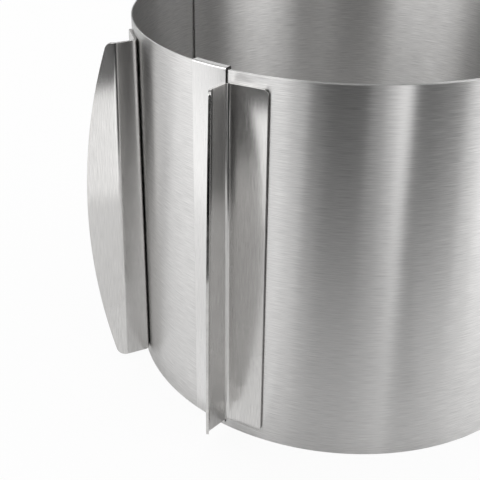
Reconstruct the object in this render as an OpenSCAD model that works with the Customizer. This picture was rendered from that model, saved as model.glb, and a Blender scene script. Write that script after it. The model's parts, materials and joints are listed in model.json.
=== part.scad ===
// Adjustable cake ring: a spring steel strip wound into a spiral, a clip on its outer end
// that guides the inner run, and two folded sheet handles that set the ring's size.
// The origin is at the middle of the ring, on the surface it stands on. Angles run
// anticlockwise seen from above, and the strip's own angles start at its outer end.
// The strip is drawn in lengths: a stiff one under each handle and at the inner end, and
// between them as many that bend on one side of the left handle as on the other.

/* [Band] */
// Height of the band, which is the greatest depth of a cake
band_h = 150; // [100:1:200]
// Thickness of the steel strip
band_t = 0.5; // [0.3:0.05:0.7]
// Radius of the middle of the strip at its outer end
band_r = 88.8; // [80:0.1:110]
// Gap between two layers of the strip
layer_gap = 0.35; // [0.25:0.05:0.6]
// Angle that the strip winds through from its outer end to its inner end
wind_angle = 629; // [600:1:650]
// Angle at which the outer end stands
start_angle = 237; // [0:1:359]
// How far the stiff stretch at the outer end runs on past the right handle's flange
stiff_past = 1.2; // [0.5:0.1:4]

/* [Clip] */
// Width of the clip along the band
clip_w = 15.5; // [12:0.5:18]
// Thickness of the clip's sheet
clip_t = 1; // [0.6:0.1:1.4]
// How far the clip reaches past the outer end of the strip
clip_reach = 5.8; // [4:0.1:7]
// Height of the clip's lower end above the base
clip_foot = 2; // [0.5:0.1:6]
// How far the hook reaches down inside the ring
hook_drop = 4; // [2:0.5:10]
// Gap between the hook and the inner layer
hook_clear = 0.2; // [0.15:0.05:0.5]
// Gap between the hook and the upper rim
rim_clear = 0.1; // [0.05:0.05:0.5]

/* [Handles] */
// Height of a handle
handle_h = 141.2; // [80:0.1:145]
// Height of a handle's lower end above the base
handle_foot = 4.9; // [1:0.1:5]
// Thickness of a handle's sheet
sheet_t = 1; // [0.6:0.1:1.4]
// Width of the flange that lies on the band
flange_w = 15.8; // [12:0.1:17]
// Radius of the flange's free corners
flange_corner = 1.7; // [1:0.1:5]
// Width of the leg that stands out from the band, at its lower end
leg_w = 11.5; // [9:0.1:14]
// How much narrower the leg is at its upper end
leg_taper = 2.4; // [0:0.1:4]
// How far the leg leans from square to the flange
leg_lean = 12; // [5:0.1:25]
// Radius inside the fold between flange and leg
root_r = 1.7; // [0.5:0.1:2]
// Radius inside the fold between leg and lip
crease_r = 1.8; // [0.5:0.1:3]
// Angle that the lip is folded back from the leg
lip_angle = 40; // [20:0.1:50]
// Width of the lip at its ends
lip_end = 3.4; // [2.5:0.1:5]
// Width of the lip at half height
lip_mid = 14.4; // [9:0.1:18]
// Radius of the lip's corners
lip_corner = 3; // [0.5:0.1:3.2]
// Gap between the clip and the right handle, where the faces of its root would meet
clip_gap = 0.3; // [0.2:0.05:3]
// Angle along the strip at which the left handle's flange is centred
left_angle = 324.5; // [318:0.5:330]

/* [Hidden] */
// Gap under a welded sheet, so that flat and curved faces stay apart
weld_gap = 0.02;
// Gap between two lengths of the strip
end_gap = 0.05;
// How far a flat part runs into the fold beside it, so that they are one sheet
join = 0.05;
// How far the crease and the lip stand past the ends of the leg, so that they cross cleanly
crease_past = 0.05;
// How far what is cut away reaches past the sheet
cut_past = 1;
// How far a curve stands past the flat faces that it meets, so that they cross cleanly
graze = 0.01;
// Lengths that bend on each side of the left handle's stiff stretch
flex_count = 12;
band_count = 2 * flex_count + 3;
middle = flex_count + 1;
flange_start = clip_w - clip_reach + clip_gap;
stiff_angle = angle_of(flange_start + flange_w + stiff_past, band_r);
outer_angle = (left_angle - 1.5 * stiff_angle) / flex_count;
inner_angle = (wind_angle - left_angle - 1.5 * stiff_angle) / flex_count;
wind_step = band_t + layer_gap;
clip_in_r = arc_r(0) + band_t / 2 + weld_gap;
right_angle = angle_of(flange_start + flange_w / 2, clip_in_r);
hook_out_r = arc_r(0) - band_t / 2 - wind_step - hook_clear;
hook_z = band_h + rim_clear;
root_angle = 90 - leg_lean;
root_setback = setback(root_angle, root_r);
crease_setback = setback(lip_angle, crease_r);
crease_tilt = atan(leg_taper / handle_h);
crease_h = handle_h / cos(crease_tilt) + 2 * crease_past;
bow_rise = lip_mid - lip_end;
bow_r = (pow(crease_h / 2, 2) + pow(bow_rise, 2)) / (2 * bow_rise);
bow_x = lip_mid - crease_setback - bow_r;
steel = [0.74, 0.74, 0.75];
clip_steel = [0.86, 0.86, 0.86];
$fn = 180;

// Name of a length of the strip, counted from 1
function band_name(i) = str("band_", i < 9 ? "0" : "", i + 1);

// Angle along the strip at which a length starts
function arc_start(i) =
    i == 0 ? 0
    : i <= middle ? stiff_angle + (i - 1) * outer_angle
    : i < band_count ? left_angle + stiff_angle / 2 + (i - middle - 1) * inner_angle
    : wind_angle;

// Radius of the middle of a length: the strip steps inward evenly as it winds
function arc_r(i) = band_r - wind_step * (arc_start(i) + arc_start(i + 1)) / 2 / 360;

function direction(angle) = [cos(angle), sin(angle)];

// Centre of a length, so that it runs on smoothly from the one before
function arc_centre(i) =
    i == 0 ? [0, 0]
    : arc_centre(i - 1) + (arc_r(i - 1) - arc_r(i)) * direction(start_angle + arc_start(i));

// Length of the strip that an angle lies on
function arc_at(angle) = max([for (i = [0:band_count - 1]) if (arc_start(i) <= angle) i]);

// Angle that a stretch takes at a radius
function angle_of(stretch, r) = stretch / r * 180 / PI;

// Distance from the start of a fold's curve to the corner of its outer faces
function setback(fold, r) = (sheet_t + r) * tan(fold / 2);

// One length of the strip
module band_length(i) {
    trim = angle_of(end_gap / 2, arc_r(i));
    color(steel)
        translate(arc_centre(i))
            rotate(start_angle + arc_start(i) + trim)
                rotate_extrude(angle = arc_start(i + 1) - arc_start(i) - 2 * trim)
                    translate([arc_r(i) - band_t / 2, 0])
                        square([band_t, band_h]);
}

// Puts a sheet on the outside of the strip, with +X clockwise and +Y outward
module on_band(angle) {
    i = arc_at(angle);
    translate(arc_centre(i))
        rotate(start_angle + angle - 90)
            translate([0, arc_r(i) + band_t / 2 + weld_gap, 0])
                children();
}

// The clip cut square to the band: outer leg, hook over the rim and short inner leg
module clip_section() {
    translate([clip_in_r, clip_foot])
        square([clip_t, hook_z - clip_foot]);
    translate([hook_out_r, hook_z])
        square([clip_in_r - hook_out_r, clip_t]);
    translate([hook_out_r - clip_t, band_h - hook_drop])
        square([clip_t, hook_drop + rim_clear]);
    translate([clip_in_r, hook_z])
        quarter_disc(clip_t);
    translate([hook_out_r, hook_z])
        mirror([1, 0])
            quarter_disc(clip_t);
}

module quarter_disc(r) {
    intersection() {
        circle(r);
        square(r);
    }
}

module clip() {
    color(clip_steel)
        rotate(start_angle - angle_of(clip_reach, clip_in_r))
            rotate_extrude(angle = angle_of(clip_w, clip_in_r))
                clip_section();
}

// A flat part of a handle's sheet, drawn as width and height
module sheet() {
    translate([0, sheet_t, 0])
        rotate([90, 0, 0])
            linear_extrude(sheet_t)
                children();
}

// Folds a sheet of a height to the left, and carries on with what follows
module fold(angle, r, height) {
    turn_r = sheet_t + r;
    translate([0, turn_r, 0])
        rotate(-90)
            rotate_extrude(angle = angle)
                translate([r - graze, 0])
                    square([sheet_t + 2 * graze, height]);
    translate([turn_r * sin(angle), turn_r * (1 - cos(angle)), 0])
        rotate(angle)
            children();
}

// What is cut from the lower left corner of a flat part to round it
module square_corner(r) {
    difference() {
        translate([-cut_past, -cut_past])
            square(r + cut_past);
        translate([r, r])
            circle(r);
    }
}

// The flange, from its rounded free corners to the start of the root's fold
module flange() {
    translate([-flange_w / 2, 0, 0])
        sheet()
            difference() {
                square([flange_w - root_setback + join, handle_h]);
                square_corner(flange_corner);
                translate([0, handle_h])
                    mirror([0, 1])
                        square_corner(flange_corner);
            }
}

// What is cut where the bow meets the lip's lower end, round a circle that touches both
module bow_corner() {
    centre_x = bow_x + sqrt(pow(bow_r - lip_corner, 2) - pow(crease_h / 2 - lip_corner, 2));
    bow_centre = [bow_x, crease_h / 2];
    corner_centre = [centre_x, lip_corner];
    outward = (corner_centre - bow_centre) / (bow_r - lip_corner);
    touch = bow_centre + outward * bow_r;
    difference() {
        polygon([
            [centre_x, -cut_past],
            corner_centre,
            touch,
            touch + outward * cut_past,
            [touch.x + 2 * cut_past, -cut_past]
        ]);
        translate(corner_centre)
            circle(lip_corner + graze);
    }
}

// The lip, whose free edge is bowed
module lip() {
    sheet()
        difference() {
            intersection() {
                translate([-join, 0])
                    square([lip_mid, crease_h]);
                translate([bow_x, crease_h / 2])
                    circle(bow_r, $fn = 720);
            }
            bow_corner();
            translate([0, crease_h])
                mirror([0, 1])
                    bow_corner();
        }
}

// The leg between its two folds, which lean towards each other at the upper end
module leg(flat_w) {
    sheet()
        polygon([
            [-join, 0],
            [flat_w + join, 0],
            [flat_w - leg_taper + join, handle_h],
            [-join, handle_h]
        ]);
}

// A handle whose leg stands at the +X side of its flange
module handle() {
    leg_flat = leg_w - root_setback - crease_setback;
    translate([0, 0, handle_foot]) {
        flange();
        translate([flange_w / 2 - root_setback, 0, 0])
            fold(root_angle, root_r, handle_h) {
                leg(leg_flat);
                translate([leg_flat, 0, 0])
                    rotate([0, -crease_tilt, 0])
                        translate([0, 0, -crease_past])
                            fold(lip_angle, crease_r, crease_h)
                                lip();
            }
    }
}

module right_handle() {
    color(steel)
        on_band(right_angle)
            handle();
}

module left_handle() {
    color(steel)
        on_band(left_angle)
            mirror([1, 0, 0])
                handle();
}

for (i = [0:band_count - 1])
    band_length(i);
clip();
right_handle();
left_handle();
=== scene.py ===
"""Adjustable cake ring: a wound strip of brushed spring steel with a clip and two folded handles."""
import json
import math

import bmesh
import bpy
import numpy as np
from mathutils import Matrix, Vector


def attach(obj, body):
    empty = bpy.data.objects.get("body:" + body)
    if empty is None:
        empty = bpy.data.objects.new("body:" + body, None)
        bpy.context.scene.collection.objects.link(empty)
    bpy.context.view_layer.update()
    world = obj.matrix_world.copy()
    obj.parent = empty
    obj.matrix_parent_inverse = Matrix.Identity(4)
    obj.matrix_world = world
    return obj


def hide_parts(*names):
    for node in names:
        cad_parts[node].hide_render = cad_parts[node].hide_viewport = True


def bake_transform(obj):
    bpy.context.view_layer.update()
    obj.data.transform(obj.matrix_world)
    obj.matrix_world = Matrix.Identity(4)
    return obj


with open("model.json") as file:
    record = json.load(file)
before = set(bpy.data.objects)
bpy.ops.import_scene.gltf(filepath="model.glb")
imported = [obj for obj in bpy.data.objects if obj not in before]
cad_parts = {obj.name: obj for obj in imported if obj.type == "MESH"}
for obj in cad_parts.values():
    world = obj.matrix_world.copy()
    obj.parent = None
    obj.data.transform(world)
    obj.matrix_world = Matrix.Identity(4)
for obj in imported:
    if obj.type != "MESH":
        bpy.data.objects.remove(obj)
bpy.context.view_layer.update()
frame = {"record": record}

MM = 0.001

# Sizes of the source, in millimetres and degrees
BAND_H = 150
BAND_T = 0.5
BAND_R = 88.8
LAYER_GAP = 0.35
WIND_ANGLE = 629
START_ANGLE = 237
STIFF_PAST = 1.2
CLIP_W = 15.5
CLIP_REACH = 5.8
CLIP_FOOT = 2
HOOK_DROP = 4
HOOK_CLEAR = 0.2
RIM_CLEAR = 0.1
HANDLE_H = 141.2
HANDLE_FOOT = 4.9
SHEET_T = 1
FLANGE_W = 15.8
FLANGE_CORNER = 1.7
LEG_W = 11.5
LEG_TAPER = 2.4
LEG_LEAN = 12
ROOT_R = 1.7
CREASE_R = 1.8
LIP_ANGLE = 40
LIP_END = 3.4
LIP_MID = 14.4
LIP_CORNER = 3
CLIP_GAP = 0.3
LEFT_ANGLE = 324.5
CREASE_PAST = 0.05
WELD_GAP = 0.02
FLEX_COUNT = 12
BAND_COUNT = 2 * FLEX_COUNT + 3
MIDDLE = FLEX_COUNT + 1
WIND_STEP = BAND_T + LAYER_GAP
FLANGE_START = CLIP_W - CLIP_REACH + CLIP_GAP
STIFF_ANGLE = math.degrees((FLANGE_START + FLANGE_W + STIFF_PAST) / BAND_R)
OUTER_ANGLE = (LEFT_ANGLE - 1.5 * STIFF_ANGLE) / FLEX_COUNT
INNER_ANGLE = (WIND_ANGLE - LEFT_ANGLE - 1.5 * STIFF_ANGLE) / FLEX_COUNT


def arc_start(i):
    """Angle along the strip at which a length starts."""
    if i == 0:
        return 0.0
    if i <= MIDDLE:
        return STIFF_ANGLE + (i - 1) * OUTER_ANGLE
    if i < BAND_COUNT:
        return LEFT_ANGLE + STIFF_ANGLE / 2 + (i - MIDDLE - 1) * INNER_ANGLE
    return float(WIND_ANGLE)


def arc_r(i):
    """Radius of the middle of a length: the strip steps inward evenly as it winds."""
    return BAND_R - WIND_STEP * (arc_start(i) + arc_start(i + 1)) / 2 / 360


def direction(angle):
    """The way that an angle in degrees points, seen from above."""
    return np.array([math.cos(math.radians(angle)), math.sin(math.radians(angle))])


centres = [np.zeros(2)]
for i in range(1, BAND_COUNT):
    step = (arc_r(i - 1) - arc_r(i)) * direction(START_ANGLE + arc_start(i))
    centres.append(centres[-1] + step)
CLIP_IN_R = arc_r(0) + BAND_T / 2 + WELD_GAP
HOOK_OUT_R = arc_r(0) - BAND_T / 2 - WIND_STEP - HOOK_CLEAR
HOOK_Z = BAND_H + RIM_CLEAR
RIGHT_ANGLE = math.degrees((FLANGE_START + FLANGE_W / 2) / CLIP_IN_R)


def arc_at(angle):
    """Length of the strip that an angle along it lies on."""
    return max(i for i in range(BAND_COUNT) if arc_start(i) <= angle)


def band_point(angle, off=0.0):
    """A point of the strip at an angle along it, off outward from the middle of its thickness."""
    i = arc_at(min(angle, WIND_ANGLE - 1e-6))
    return centres[i] + (arc_r(i) + off) * direction(START_ANGLE + angle)


# Meshes


def new_object(name, verts, faces, uvs=None, normals=None):
    """A smooth mesh object from points in millimetres, with a UV for each vertex, in metres."""
    mesh = bpy.data.meshes.new(name)
    mesh.from_pydata([tuple(np.array(v) * MM) for v in verts], [], faces)
    mesh.polygons.foreach_set("use_smooth", [True] * len(mesh.polygons))
    if uvs is not None:
        layer = mesh.uv_layers.new(name="metric")
        index = np.zeros(len(mesh.loops), np.int32)
        mesh.loops.foreach_get("vertex_index", index)
        layer.data.foreach_set("uv", (np.array(uvs) * MM)[index].astype(np.float32).ravel())
    if normals is not None:
        mesh.normals_split_custom_set_from_vertices([tuple(n) for n in normals])
    ob = bpy.data.objects.new(name, mesh)
    bpy.context.scene.collection.objects.link(ob)
    return ob


# Radius of the strip's rounded edges, and the steps round each
EDGE_R = 0.12
EDGE_STEPS = 4
# Points up each wall of the strip, and the angle between its columns
WALL_ROWS = 6
COLUMN_STEP = 0.8
# Edges sharper than this angle are rounded, in this many steps
SHARP_ANGLE = 50
BEVEL_STEPS = 3
# How much more than small faces the large ones count in the shading
FLAT_WEIGHT = 90


def rounded(off, z, start, row):
    """One rounded edge of the strip's section, round a point. The function row gives a height's UV row."""
    points = []
    for k in range(1, EDGE_STEPS):
        out, up = direction(start + 90 * k / EDGE_STEPS)
        height = z + EDGE_R * up
        points.append((off + EDGE_R * out, height, out, up, row(height)))
    return points


def band_profile():
    """The strip's section as a closed loop: offset across the thickness, height, normal and UV row."""
    half = BAND_T / 2
    flat = half - EDGE_R
    rows = np.linspace(EDGE_R, BAND_H - EDGE_R, WALL_ROWS)
    loop = [(half, z, 1.0, 0.0, z) for z in rows]
    loop += rounded(flat, BAND_H - EDGE_R, 0, lambda z: z)
    loop.append((flat, BAND_H, 0.0, 1.0, BAND_H))
    loop.append((-flat, BAND_H, 0.0, 1.0, BAND_H + 2 * flat))
    loop += rounded(-flat, BAND_H - EDGE_R, 90, lambda z: 2 * BAND_H - z)
    loop += [(-half, z, -1.0, 0.0, 2 * BAND_H - z) for z in rows[::-1]]
    loop += rounded(-flat, EDGE_R, 180, lambda z: 2 * BAND_H - z)
    loop.append((-flat, 0.0, 0.0, -1.0, 2 * BAND_H))
    loop.append((flat, 0.0, 0.0, -1.0, 2 * BAND_H + 2 * flat))
    loop += rounded(flat, EDGE_R, 270, lambda z: 2 * BAND_H + 2 * flat + z)
    return loop


PROFILE = band_profile()


def band_piece(name, a0, a1, cap_start=False, cap_end=False):
    """A stretch of the strip between two angles along it."""
    columns = max(2, int(round((a1 - a0) / COLUMN_STEP)) + 1)
    verts, uvs, normals, faces = [], [], [], []
    n = len(PROFILE)
    for angle in np.linspace(a0, a1, columns):
        out = direction(START_ANGLE + angle)
        along = math.radians(angle) * BAND_R
        for off, z, nr, nz, v in PROFILE:
            p = band_point(angle, off)
            verts.append((p[0], p[1], z))
            normals.append((out[0] * nr, out[1] * nr, nz))
            uvs.append((along, v))
    for c in range(columns - 1):
        for k in range(n):
            m = (k + 1) % n
            faces.append((c * n + k, (c + 1) * n + k, (c + 1) * n + m, c * n + m))
    for wanted, column, sign in ((cap_start, 0, -1), (cap_end, columns - 1, 1)):
        if not wanted:
            continue
        angle = a0 if sign < 0 else a1
        tangent = direction(START_ANGLE + angle + 90) * sign
        first = len(verts)
        for k in range(n):
            verts.append(verts[column * n + k])
            uvs.append(uvs[column * n + k])
            normals.append((tangent[0], tangent[1], 0.0))
        ring = [first + k for k in range(n)]
        faces.append(tuple(ring if sign < 0 else ring[::-1]))
    return new_object(name, verts, faces, uvs, normals)


def bevel_edges(ob, width):
    """Rounds the sharp edges of a sheet, and keeps the flat faces flat in shading."""
    bm = bmesh.new()
    bm.from_mesh(ob.data)
    bmesh.ops.recalc_face_normals(bm, faces=bm.faces)
    sharp = math.radians(SHARP_ANGLE)
    edges = [e for e in bm.edges if len(e.link_faces) == 2 and e.calc_face_angle(0) > sharp]
    bmesh.ops.bevel(bm, geom=edges, offset=width * MM, segments=BEVEL_STEPS, profile=0.5, affect="EDGES",
                    clamp_overlap=True)
    for f in bm.faces:
        f.smooth = True
    bm.to_mesh(ob.data)
    bm.free()
    ob.data.update()
    weighted = ob.modifiers.new("flat faces stay flat", "WEIGHTED_NORMAL")
    weighted.mode = "FACE_AREA"
    weighted.weight = FLAT_WEIGHT
    apply_modifiers(ob)
    return ob


def apply_modifiers(ob):
    """Replaces an object's mesh by what its modifiers make of it."""
    graph = bpy.context.evaluated_depsgraph_get()
    mesh = bpy.data.meshes.new_from_object(ob.evaluated_get(graph))
    ob.modifiers.clear()
    old = ob.data
    ob.data = mesh
    bpy.data.meshes.remove(old)
    mesh.name = ob.name


# Band

bodies = [None] * BAND_COUNT
for name, members in frame["record"]["behaviour"]["bodies"].items():
    for node in members:
        if node.startswith("band_"):
            bodies[int(node[5:]) - 1] = name
mids = [(arc_start(i) + arc_start(i + 1)) / 2 for i in range(BAND_COUNT)]


band = []
piece = band_piece("strip_outer_end", 0.0, mids[0], cap_start=True)
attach(piece, bodies[0])
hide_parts("band_01")
band.append(piece)
for i in range(1, BAND_COUNT):
    piece = band_piece(f"strip_{i:02d}", mids[i - 1], mids[i])
    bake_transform(piece)
    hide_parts(f"band_{i + 1:02d}")
    band.append(piece)
piece = band_piece("strip_inner_end", mids[-1], float(WIND_ANGLE), cap_end=True)
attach(piece, bodies[-1])
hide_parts(f"band_{BAND_COUNT:02d}")
band.append(piece)

# Clip

# Radius of the clip's rounded edges
CLIP_EDGE = 0.18
# The clip's sheet is shown thinner than in the source, and its free side a little further in
CLIP_SHEET = 0.7
CLIP_TRIM = 1.0
# How much further in the hook's inner leg stands than in the source. The smooth strip rounds the
# corners between its lengths, and the inner layer would otherwise cut into the hook when the ring is wide
HOOK_EASE = 0.3
HOOK_IN_R = HOOK_OUT_R - HOOK_EASE
# Size of the inner face's two small bends, and where the straight legs end below them
BEND_R = 0.05
BEND_START = 0.6
# Points up the outer leg, round a bend, up the inner leg, and across the clip
OUTER_ROWS = 26
BEND_POINTS = 9
INNER_ROWS = 5
CLIP_COLUMNS = 15


def clip_loop():
    """Section of the clip as pairs of points, on its outer and its inner face, in radius and height."""
    outer, inner = [], []
    for z in np.linspace(CLIP_FOOT, HOOK_Z - BEND_START, OUTER_ROWS):
        outer.append((CLIP_IN_R + CLIP_SHEET, z))
        inner.append((CLIP_IN_R, z))
    for angle in np.linspace(0, 90, BEND_POINTS):
        out, up = direction(angle)
        outer.append((CLIP_IN_R + CLIP_SHEET * out, HOOK_Z + CLIP_SHEET * up))
        inner.append((CLIP_IN_R - BEND_R * (1 - out), HOOK_Z - BEND_R * (1 - up)))
    for angle in np.linspace(90, 180, BEND_POINTS):
        out, up = direction(angle)
        outer.append((HOOK_IN_R + CLIP_SHEET * out, HOOK_Z + CLIP_SHEET * up))
        inner.append((HOOK_IN_R + BEND_R * (1 - up), HOOK_Z - BEND_R * (1 + out)))
    for z in np.linspace(HOOK_Z - BEND_START, BAND_H - HOOK_DROP, INNER_ROWS):
        outer.append((HOOK_IN_R - CLIP_SHEET, z))
        inner.append((HOOK_IN_R, z))
    return outer, inner


def make_clip():
    """The clip: its section carried round the strip, with a cap on each side."""
    outer, inner = clip_loop()
    n = len(outer)
    a0 = START_ANGLE - math.degrees((CLIP_REACH - CLIP_TRIM) / CLIP_IN_R)
    width = math.degrees((CLIP_W - CLIP_TRIM) / CLIP_IN_R)
    lengths = np.concatenate([[0], np.cumsum(np.hypot(*np.diff(np.array(outer), axis=0).T))])
    verts, uvs, faces = [], [], []
    for c in range(CLIP_COLUMNS):
        out = direction(a0 + width * c / (CLIP_COLUMNS - 1))
        for side in (outer, inner):
            for k, (r, z) in enumerate(side):
                verts.append((out[0] * r, out[1] * r, z))
                uvs.append((CLIP_W * c / (CLIP_COLUMNS - 1), lengths[k]))
    size = 2 * n
    for c in range(CLIP_COLUMNS - 1):
        for k in range(n - 1):
            a, b = c * size + k, (c + 1) * size + k
            faces.append((a, b, b + 1, a + 1))
            faces.append((a + n + 1, b + n + 1, b + n, a + n))
        for k in (0, n - 1):
            a, b = c * size + k, (c + 1) * size + k
            faces.append((a, a + n, b + n, b) if k == 0 else (b, b + n, a + n, a))
    for c in (0, CLIP_COLUMNS - 1):
        for k in range(n - 1):
            a = c * size + k
            quad = (a, a + 1, a + n + 1, a + n)
            faces.append(quad if c == 0 else quad[::-1])
    ob = new_object("guide_clip", verts, faces, uvs)
    return bevel_edges(ob, CLIP_EDGE)


clip = make_clip()
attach(clip, bodies[0])
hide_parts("clip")

# Handles

# Radius of a handle's rounded edges
HANDLE_EDGE = 0.2
ROOT_ANGLE = 90 - LEG_LEAN


def setback(fold, r):
    """Distance from the start of a fold's curve to the corner of its outer faces."""
    return (SHEET_T + r) * math.tan(math.radians(fold / 2))


ROOT_SETBACK = setback(ROOT_ANGLE, ROOT_R)
CREASE_SETBACK = setback(LIP_ANGLE, CREASE_R)
LEG_FLAT = LEG_W - ROOT_SETBACK - CREASE_SETBACK
FLAT_END = FLANGE_W / 2 - ROOT_SETBACK
ROOT_LENGTH = math.radians(ROOT_ANGLE) * (ROOT_R + SHEET_T / 2)
CREASE_LENGTH = math.radians(LIP_ANGLE) * (CREASE_R + SHEET_T / 2)
CREASE_TILT = math.atan(LEG_TAPER / HANDLE_H)
LIP_H = HANDLE_H / math.cos(CREASE_TILT)
BOW_RISE = LIP_MID - LIP_END
BOW_R = ((LIP_H / 2 + CREASE_PAST) ** 2 + BOW_RISE ** 2) / (2 * BOW_RISE)
BOW_X = LIP_MID - CREASE_SETBACK - BOW_R


def moved(place, x):
    """A frame shifted along its sheet. A frame is an origin and the ways along, across and up the sheet."""
    origin, along, across, up = place
    return origin + along * x, along, across, up


def folded(place, angle, r):
    """The frame that a fold of an angle leads to."""
    origin, along, across, up = place
    cosine, sine = direction(angle)
    centre = origin + across * (SHEET_T + r)
    new_along = along * cosine + across * sine
    new_across = across * cosine - along * sine
    return centre - new_across * (SHEET_T + r), new_along, new_across, up


def tilted(place, angle):
    """The frame turned within its sheet, so that what goes up leans back."""
    origin, along, across, up = place
    new_along = along * math.cos(angle) + up * math.sin(angle)
    new_up = up * math.cos(angle) - along * math.sin(angle)
    return origin, new_along, across, new_up


FLANGE_PLACE = (np.zeros(3), np.array([1.0, 0, 0]), np.array([0, 1.0, 0]), np.array([0, 0, 1.0]))
ROOT_PLACE = moved(FLANGE_PLACE, FLAT_END)
LEG_PLACE = folded(ROOT_PLACE, ROOT_ANGLE, ROOT_R)
CREASE_PLACE = tilted(moved(LEG_PLACE, LEG_FLAT), CREASE_TILT)
LIP_PLACE = folded(CREASE_PLACE, LIP_ANGLE, CREASE_R)


def coons(bottom, top, left, right, u, v):
    """A grid of points inside four edges, at shares u along the lower and upper ones and v up the others."""
    u, v = np.array(u)[None, :, None], np.array(v)[:, None, None]
    along = (1 - v) * bottom[None] + v * top[None]
    across = (1 - u) * left[:, None] + u * right[:, None]
    corners = (1 - u) * ((1 - v) * bottom[0] + v * top[0]) + u * ((1 - v) * bottom[-1] + v * top[-1])
    return along + across - corners


# Points round a corner, and rows of points up a handle
ARC_POINTS = 5
ROWS = 64
# Heights of the rows next to a handle's end, and of the first one past them
END_ROWS = (0, 0.5, 1.1, 1.8, 2.7, 3.8)
EVEN_START = 5.2
# Columns of points on the flange and the lip beside their corners, and on the folds and the leg
FLANGE_COLUMNS = 12
LIP_COLUMNS = 4
ROOT_COLUMNS = 12
LEG_COLUMNS = 8
CREASE_COLUMNS = 10


def arc(cx, cz, r, a0, a1, n):
    """Points of an arc within a sheet."""
    a = np.radians(np.linspace(a0, a1, n))
    return np.stack([cx + r * np.cos(a), cz + r * np.sin(a)], 1)


def row_shares():
    """Heights of the rows as shares: close together at the ends, where the corners are, and even between."""
    near = np.array(END_ROWS) / HANDLE_H
    mid = np.linspace(EVEN_START / HANDLE_H, 1 - EVEN_START / HANDLE_H, ROWS - 2 * len(near))
    return np.concatenate([near, mid, 1 - near[::-1]])


def side_points(corner, straight, height, shares):
    """Edge points for the rows: a corner's, then the edge's at each height, then the corner mirrored."""
    k = len(corner)
    middle = [straight(share * height) for share in shares[k:-k]]
    mirrored = [(x, height - z) for x, z in corner[::-1]]
    return np.array([tuple(p) for p in corner] + middle + mirrored)


def flange_grid(shares):
    """Points of the flange, with its two free corners rounded."""
    c = FLANGE_CORNER
    x0 = -FLANGE_W / 2
    left = side_points(arc(x0 + c, c, c, 225, 180, ARC_POINTS), lambda z: (x0, z), HANDLE_H, shares)
    flats = np.linspace(x0 + c, FLAT_END, FLANGE_COLUMNS)[1:]
    bottom = np.concatenate([arc(x0 + c, c, c, 225, 270, ARC_POINTS), [(x, 0.0) for x in flats]])
    top = bottom * [1, -1] + [0, HANDLE_H]
    right = np.stack([np.full(len(shares), FLAT_END), shares * HANDLE_H], 1)
    u = (bottom[:, 0] - bottom[0, 0]) / (FLAT_END - bottom[0, 0])
    return coons(bottom, top, left, right, u, shares)


def lip_grid(shares):
    """Points of the lip, whose free edge is bowed and meets its ends in round corners."""
    r = LIP_CORNER
    centre_x = BOW_X + math.sqrt((BOW_R - r) ** 2 - (LIP_H / 2 - r) ** 2)
    touch = math.degrees(math.atan2(r - LIP_H / 2, centre_x - BOW_X))
    half = (270 + 360 + touch) / 2

    def bow(z):
        return BOW_X + math.sqrt(BOW_R ** 2 - (z - LIP_H / 2) ** 2), z

    right = side_points(arc(centre_x, r, r, half, 360 + touch, ARC_POINTS), bow, LIP_H, shares)
    flats = np.linspace(0, centre_x, LIP_COLUMNS)[:-1]
    bottom = np.concatenate([[(x, 0.0) for x in flats], arc(centre_x, r, r, 270, half, ARC_POINTS)])
    top = bottom * [1, -1] + [0, LIP_H]
    left = np.stack([np.zeros(len(shares)), shares * LIP_H], 1)
    return coons(bottom, top, left, right, bottom[:, 0] / bottom[-1, 0], shares)


def handle_columns():
    """The sheet's columns of points: each has its frame, its unrolled place, and its points in the frame."""
    shares = row_shares()
    heights = np.stack([np.zeros(len(shares)), shares * HANDLE_H], 1)
    tall = np.stack([np.zeros(len(shares)), shares * LIP_H], 1)
    columns = []
    for column in flange_grid(shares).transpose(1, 0, 2):
        columns.append((FLANGE_PLACE, 0.0, column))
    for t in np.linspace(0, 1, ROOT_COLUMNS)[1:]:
        place = folded(ROOT_PLACE, ROOT_ANGLE * t, ROOT_R)
        columns.append((place, FLAT_END + ROOT_LENGTH * t, heights))
    leg_start = FLAT_END + ROOT_LENGTH
    for t in np.linspace(0, 1, LEG_COLUMNS)[1:]:
        xs = (LEG_FLAT - LEG_TAPER * shares) * t
        columns.append((LEG_PLACE, leg_start, np.stack([xs, heights[:, 1]], 1)))
    crease_start = leg_start + LEG_FLAT
    for t in np.linspace(0, 1, CREASE_COLUMNS)[1:]:
        place = folded(CREASE_PLACE, LIP_ANGLE * t, CREASE_R)
        columns.append((place, crease_start + CREASE_LENGTH * t, tall))
    for column in lip_grid(shares)[:, 1:].transpose(1, 0, 2):
        columns.append((LIP_PLACE, crease_start + CREASE_LENGTH, column))
    return columns


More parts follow.
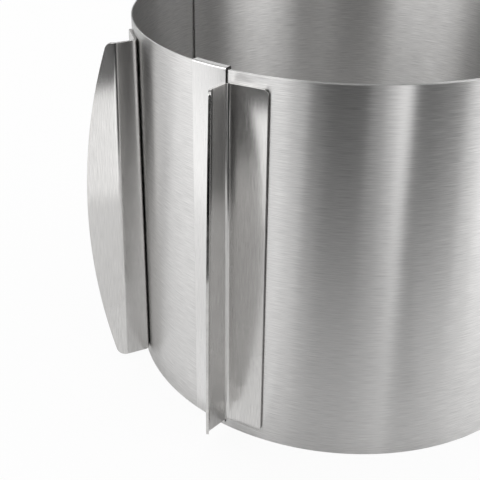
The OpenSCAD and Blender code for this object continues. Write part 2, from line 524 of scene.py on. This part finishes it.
def make_handle(name, angle, mirrored):
    """A handle on the outside of the strip, centred at an angle along it."""
    columns = handle_columns()
    rows = len(columns[0][2])
    i = arc_at(angle)
    turn = START_ANGLE + angle - 90
    ex, ey = direction(turn), direction(turn + 90)
    base = centres[i] + ey * (arc_r(i) + BAND_T / 2 + WELD_GAP)
    flip = -1 if mirrored else 1
    verts, uvs, faces = [], [], []
    for depth in (0, SHEET_T):
        for (origin, along, across, up), unrolled, points in columns:
            for x, z in points:
                p = origin + along * x + up * z + across * depth
                q = base + ex * p[0] * flip + ey * p[1]
                verts.append((q[0], q[1], p[2] + HANDLE_FOOT))
                uvs.append((unrolled + x, z))
    size = rows * len(columns)

    def face(*quad):
        faces.append(quad if flip > 0 else quad[::-1])

    for k in range(len(columns) - 1):
        for j in range(rows - 1):
            a, b = k * rows + j, (k + 1) * rows + j
            face(a, b, b + 1, a + 1)
            face(a + size + 1, b + size + 1, b + size, a + size)
        for j in (0, rows - 1):
            a, b = k * rows + j, (k + 1) * rows + j
            quad = (a, a + size, b + size, b)
            face(*(quad if j == 0 else quad[::-1]))
    for k in (0, len(columns) - 1):
        for j in range(rows - 1):
            a = k * rows + j
            quad = (a, a + 1, a + 1 + size, a + size)
            face(*(quad if k == 0 else quad[::-1]))
    ob = new_object(name, verts, faces, uvs)
    return bevel_edges(ob, HANDLE_EDGE)


right_handle = make_handle("handle_right", RIGHT_ANGLE, False)
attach(right_handle, bodies[0])
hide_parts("right_handle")
left_handle = make_handle("handle_left", LEFT_ANGLE, True)
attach(left_handle, bodies[MIDDLE])
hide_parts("left_handle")

# Materials


# The noise lies mostly between these values
NOISE_LOW = 0.3
NOISE_HIGH = 0.7
# Share of the fine streaks against the broad ones
FINE_SHARE = 0.8
# How much wide clouds change the tone, and the streaks the roughness
CLOUDING = 0.015
ROUGH_SPREAD = 0.15


def brushed_steel(name, colour, rough, stretch, along_u, rotation, tone, bump):
    """Brushed stainless steel. The streaks run along U or V of the piece's own metric map.

    stretch and rotation are the shader's anisotropy. tone is how much the streaks darken and lighten the
    colour, and bump is their depth in millimetres.
    """
    mat = bpy.data.materials.new(name)
    mat.use_nodes = True
    nodes, links = mat.node_tree.nodes, mat.node_tree.links
    shader = nodes["Principled BSDF"]
    shader.inputs["Metallic"].default_value = 1.0
    shader.inputs["Anisotropic"].default_value = stretch
    shader.inputs["Anisotropic Rotation"].default_value = rotation
    shader.inputs["Roughness"].default_value = rough
    uv = nodes.new("ShaderNodeUVMap")
    uv.uv_map = "metric"
    tangent = nodes.new("ShaderNodeTangent")
    tangent.direction_type = "UV_MAP"
    tangent.uv_map = "metric"
    links.new(tangent.outputs["Tangent"], shader.inputs["Tangent"])

    def streaks(length, width, detail, seed):
        """Noise drawn out along the brushing: length and width of a streak, in millimetres."""
        mapping = nodes.new("ShaderNodeMapping")
        scale = (1 / (length * MM), 1 / (width * MM))
        u, v = scale if along_u else scale[::-1]
        mapping.inputs["Scale"].default_value = (u, v, 1)
        mapping.inputs["Location"].default_value = (seed, seed * 0.37, 0)
        noise = nodes.new("ShaderNodeTexNoise")
        noise.inputs["Scale"].default_value = 1.0
        noise.inputs["Detail"].default_value = detail
        noise.inputs["Roughness"].default_value = 0.6
        links.new(uv.outputs["UV"], mapping.inputs["Vector"])
        links.new(mapping.outputs["Vector"], noise.inputs["Vector"])
        return noise.outputs["Fac"]

    def ranged(value, middle, spread):
        """Noise turned into a value that strays from a middle one by a share of it either way."""
        node = nodes.new("ShaderNodeMapRange")
        node.inputs["From Min"].default_value = NOISE_LOW
        node.inputs["From Max"].default_value = NOISE_HIGH
        node.inputs["To Min"].default_value = middle * (1 - spread)
        node.inputs["To Max"].default_value = middle * (1 + spread)
        links.new(value, node.inputs["Value"])
        return node.outputs["Result"]

    def maths(kind, a, b):
        """One sum or product of two outputs or numbers."""
        node = nodes.new("ShaderNodeMath")
        node.operation = kind
        for socket, value in zip(node.inputs, (a, b)):
            if isinstance(value, (int, float)):
                socket.default_value = value
            else:
                links.new(value, socket)
        return node.outputs["Value"]

    fine = streaks(7, 0.26, 3, 3.1)
    broad = streaks(22, 0.5, 2, 11.7)
    patch = streaks(60, 22, 2, 5.3)
    mixed = maths("ADD", maths("MULTIPLY", fine, FINE_SHARE), maths("MULTIPLY", broad, 1 - FINE_SHARE))
    shade = maths("MULTIPLY", ranged(mixed, 1, tone), ranged(patch, 1, CLOUDING))
    tint = nodes.new("ShaderNodeVectorMath")
    tint.operation = "SCALE"
    tint.inputs[0].default_value = colour
    links.new(shade, tint.inputs["Scale"])
    links.new(tint.outputs["Vector"], shader.inputs["Base Color"])
    links.new(ranged(mixed, rough, ROUGH_SPREAD), shader.inputs["Roughness"])
    bumps = nodes.new("ShaderNodeBump")
    bumps.inputs["Strength"].default_value = 1.0
    bumps.inputs["Distance"].default_value = bump * MM
    links.new(mixed, bumps.inputs["Height"])
    links.new(bumps.outputs["Normal"], shader.inputs["Normal"])
    return mat


band_steel = brushed_steel("band steel", (0.70, 0.694, 0.687), rough=0.335, stretch=0.985, along_u=True,
                           rotation=0.25, tone=0.22, bump=0.0004)
handle_steel = brushed_steel("handle steel", (0.64, 0.632, 0.622), rough=0.17, stretch=0.75, along_u=False,
                             rotation=0.0, tone=0.14, bump=0.0003)
clip_steel = brushed_steel("clip steel", (0.80, 0.793, 0.786), rough=0.30, stretch=0.7, along_u=False,
                           rotation=0.0, tone=0.11, bump=0.0004)
# Painted shade: near-black steel for the clip's cut sides, standing in for the shade in the gap beside the
# clip
painted_shade_steel = brushed_steel("painted shade steel", (0.09, 0.087, 0.085), rough=0.40, stretch=0.3, along_u=False,
                          rotation=0.0, tone=0.1, bump=0.0006)
# A face of the clip is a cut side, and gets the painted shade, where it faces along the strip by more than
# this share
SHADED_SIDE_SHARE = 0.9


def paint(ob, material):
    """Gives a piece its material."""
    ob.data.materials.clear()
    ob.data.materials.append(material)


def paint_shade_on_clip_sides(ob):
    """Paints shade on the sides of the clip, where its sheet was cut: near-black steel that stands in for
    the shade in the gap beside the clip.
    """
    ob.data.materials.append(painted_shade_steel)
    for face in ob.data.polygons:
        out = Vector((face.center.x, face.center.y, 0)).normalized()
        if abs(Vector((-out.y, out.x, 0)).dot(face.normal)) > SHADED_SIDE_SHARE:
            face.material_index = 1


for piece in band:
    paint(piece, band_steel)
paint(clip, clip_steel)
paint_shade_on_clip_sides(clip)
paint(right_handle, handle_steel)
paint(left_handle, handle_steel)

# Studio

# Cards round the ring, in tiers. A tier has the radius and height of its lower and of its upper edge, then
# pairs of an angle and the level that holds from there to the next angle. The first levels came from a fit
# of the cards to the brightness of the steel in the photograph. Some are its results, rounded, and the
# others were changed or set one by one.
CARD_R = 0.26
CARD_STEP = 3
TIERS = {
    "low": (CARD_R, 0.0005, CARD_R, 0.068, [
        (0, 0.7), (12, 0.2), (30, 0.4), (52, 0.1), (92, 0.8), (112, 0.4), (128, 0.9), (150, 0.6),
        (176, 0.7), (186, 1.1), (196, 1.25), (212, 1.15), (232, 1.45), (247, 1.0), (254, 0.2), (262, 0.0),
        (278, 0.1), (284, 0.2), (289, 0.8), (294, 0.0), (308, 0.15), (316, 0.6), (324, 1.3), (334, 2.2),
        (360, 0.0)]),
    "flag": (CARD_R, 0.068, CARD_R, 0.13, [
        (0, 0.2), (30, 0.4), (52, 0.1), (92, 0.7), (112, 0.3), (128, 0.8), (150, 0.6), (176, 0.8),
        (190, 1.1), (222, 0.1), (256, 0.0), (278, 0.4), (284, 0.9), (289, 1.5), (294, 0.0), (316, 0.8),
        (324, 1.5), (360, 0.0)]),
    "high": (CARD_R, 0.13, CARD_R, 0.24, [
        (0, 0.1), (30, 0.05), (112, 0.3), (150, 0.6), (176, 0.9), (186, 1.5), (247, 0.8), (256, 0.0),
        (278, 0.4), (284, 1.1), (289, 2.0), (294, 0.0), (316, 0.8), (324, 2.0), (360, 0.0)]),
    "rim": (CARD_R, 0.24, 0.27, 0.34, [
        (0, 0.9), (30, 1.2), (150, 0.7), (195, 2.4), (245, 0.0), (315, 2.4), (360, 0.0)]),
    "roof": (0.27, 0.34, 0.34, 0.75, [
        (0, 0.1), (30, 0.0), (150, 0.2), (195, 3.2), (245, 0.0), (315, 3.2), (360, 0.0)]),
    "near": (0.096, 0.0003, 0.14, 0.0003, [(190, 0.85), (252, 0.0)]),
    "grey": (0.12, 0.0003, CARD_R, 0.0003, [(260, 0.7), (300, 0.85), (314, 0.0)]),
}


def glow(name, strength):
    """A white material that shines and is lit by nothing."""
    mat = bpy.data.materials.new(name)
    mat.use_nodes = True
    nodes, links = mat.node_tree.nodes, mat.node_tree.links
    nodes.clear()
    out = nodes.new("ShaderNodeOutputMaterial")
    emission = nodes.new("ShaderNodeEmission")
    emission.inputs["Color"].default_value = (1, 1, 1, 1)
    emission.inputs["Strength"].default_value = strength
    links.new(emission.outputs["Emission"], out.inputs["Surface"])
    return mat


def stage_object(name, verts, faces, material, camera=False):
    """A mesh of the studio. Only reflections see it, unless it is for the camera too."""
    mesh = bpy.data.meshes.new(name)
    mesh.from_pydata(verts, [], faces)
    mesh.materials.append(material)
    ob = bpy.data.objects.new(name, mesh)
    bpy.context.scene.collection.objects.link(ob)
    if not camera:
        ob.visible_camera = False
        ob.visible_diffuse = False
        ob.visible_shadow = False
        ob.visible_transmission = False
    return ob


def surround(name, r0, z0, r1, z1, cards):
    """A ring of flags and soft boxes, which only reflections see."""
    for (a0, level), (a1, _) in zip(cards, cards[1:]):
        steps = max(2, int((a1 - a0) / CARD_STEP) + 1)
        verts, faces = [], []
        for k, a in enumerate(np.linspace(a0, a1, steps)):
            d = direction(a)
            verts += [(d[0] * r0, d[1] * r0, z0), (d[0] * r1, d[1] * r1, z1)]
            if k:
                faces.append((2 * k - 2, 2 * k, 2 * k + 1, 2 * k - 1))
        stage_object(f"card_{name}_{a0:03d}", verts, faces, glow(f"{name} card {a0}", level))


for tier, shape in TIERS.items():
    surround(tier, *shape)

# Half the floor's side in metres, its tone, and how much of its colour is plain white to the camera
FLOOR_HALF = 6.0
FLOOR_TONE = 0.88
FLOOR_WHITE = 0.92


def floor_material():
    """A pale floor that takes the object's shadow, and is nearly white to the camera."""
    mat = bpy.data.materials.new("floor")
    mat.use_nodes = True
    nodes, links = mat.node_tree.nodes, mat.node_tree.links
    shader = nodes["Principled BSDF"]
    shader.inputs["Base Color"].default_value = (FLOOR_TONE, FLOOR_TONE, FLOOR_TONE, 1)
    shader.inputs["Roughness"].default_value = 0.9
    white = nodes.new("ShaderNodeEmission")
    white.inputs["Strength"].default_value = 1.0
    path = nodes.new("ShaderNodeLightPath")
    share = nodes.new("ShaderNodeMath")
    share.operation = "MULTIPLY"
    share.inputs[1].default_value = FLOOR_WHITE
    links.new(path.outputs["Is Camera Ray"], share.inputs[0])
    mix = nodes.new("ShaderNodeMixShader")
    links.new(share.outputs["Value"], mix.inputs["Fac"])
    links.new(shader.outputs["BSDF"], mix.inputs[1])
    links.new(white.outputs["Emission"], mix.inputs[2])
    links.new(mix.outputs["Shader"], nodes["Material Output"].inputs["Surface"])
    return mat


def make_floor():
    """The plain floor that the ring stands on."""
    corners = [(x * FLOOR_HALF, y * FLOOR_HALF, 0) for x, y in ((-1, -1), (1, -1), (1, 1), (-1, 1))]
    stage_object("floor", corners, [(0, 1, 2, 3)], floor_material(), camera=True)


def make_world():
    """Plain white light from all round."""
    world = bpy.data.worlds.new("studio")
    world.use_nodes = True
    background = world.node_tree.nodes["Background"]
    background.inputs["Color"].default_value = (1, 1, 1, 1)
    background.inputs["Strength"].default_value = 1.0
    bpy.context.scene.world = world


make_floor()
make_world()
bpy.context.scene.view_settings.view_transform = "Standard"

# Camera

# Side of the image and width of the sensor, then what a fit of the camera to the photograph's rims,
# handles and clip gave: the focal length, the optical centre and the ring's middle in pixels, and the
# camera's distance in metres, its elevation and its roll
IMAGE = 480
SENSOR = 36.0
FOCAL_PX = 962.3
CENTRE_PX = (165.0, 200.0)
RING_PX = (341.72, 166.09)
DISTANCE = 0.42106
ELEVATION = math.radians(25.71)
ROLL = math.radians(-1.72)


def camera_matrix():
    """The camera's place and turn, with the middle of the ring where the photograph has it."""
    target = Vector((0, 0, BAND_H / 2 * MM))
    place = target + Vector((0, -DISTANCE * math.cos(ELEVATION), DISTANCE * math.sin(ELEVATION)))
    yaw = -math.atan((RING_PX[0] - CENTRE_PX[0]) / FOCAL_PX)
    pitch = math.atan((RING_PX[1] - CENTRE_PX[1]) / FOCAL_PX)
    ahead = (target - place).normalized()
    side = Vector((1, 0, 0))
    upward = side.cross(ahead)
    look = ahead * math.cos(pitch) * math.cos(yaw) + side * math.sin(yaw)
    look += upward * math.sin(pitch) * math.cos(yaw)
    look.normalize()
    level_side = look.cross(Vector((0, 0, 1))).normalized()
    level_up = level_side.cross(look)
    cam_x = level_side * math.cos(ROLL) + level_up * math.sin(ROLL)
    cam_y = level_up * math.cos(ROLL) - level_side * math.sin(ROLL)
    return Matrix.Translation(place) @ Matrix((cam_x, cam_y, -look)).transposed().to_4x4()


def make_camera():
    """The photograph's camera. The shift keeps its optical centre, as the photo was cut."""
    data = bpy.data.cameras.new("camera")
    data.sensor_width = SENSOR
    data.lens = FOCAL_PX * SENSOR / IMAGE
    data.shift_x = (IMAGE / 2 - CENTRE_PX[0]) / IMAGE
    data.shift_y = (CENTRE_PX[1] - IMAGE / 2) / IMAGE
    camera = bpy.data.objects.new("camera", data)
    bpy.context.scene.collection.objects.link(camera)
    camera.matrix_world = camera_matrix()
    bpy.context.scene.camera = camera


make_camera()
